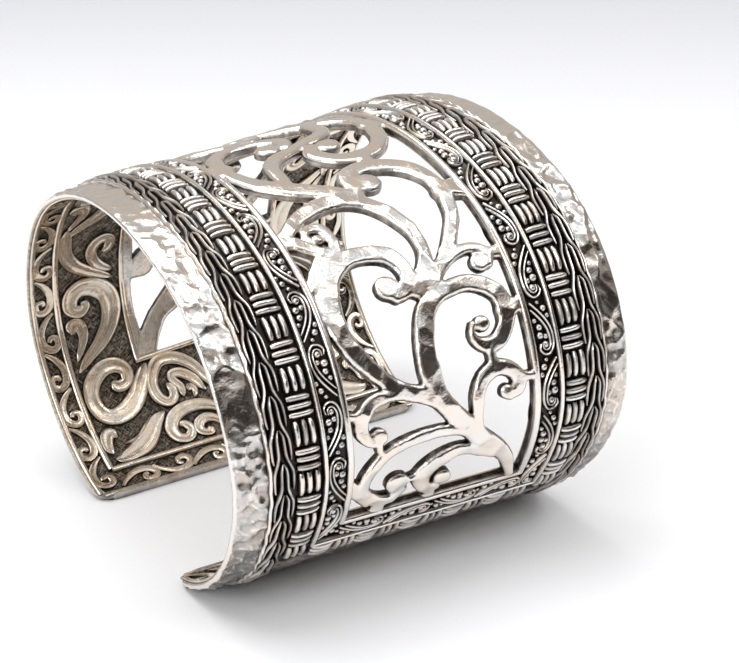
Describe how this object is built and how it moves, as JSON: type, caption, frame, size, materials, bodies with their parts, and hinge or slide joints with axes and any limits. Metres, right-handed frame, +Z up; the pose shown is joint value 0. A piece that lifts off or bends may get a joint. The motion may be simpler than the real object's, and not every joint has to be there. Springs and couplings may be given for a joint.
{
  "type": "cuff bracelet",
  "caption": "Wide silver cuff bracelet with a pierced scrollwork window, braided and woven wire borders and hammered edges, open at the back for the wrist.",
  "frame": {"origin": "on the surface the cuff stands on, under the middle of its bounding box", "axes": "X runs along the wrist, Y from the back wall to the front wall, with the front wall towards -Y, and +Z up from the two terminals to the crown"},
  "size_m": [0.05, 0.067, 0.048],
  "materials": {
    "cuff": "polished silver, oxidised dark in the recesses"
  },
  "bodies": {
    "root": {"cuff": "cuff"}
  },
  "joints": []
}
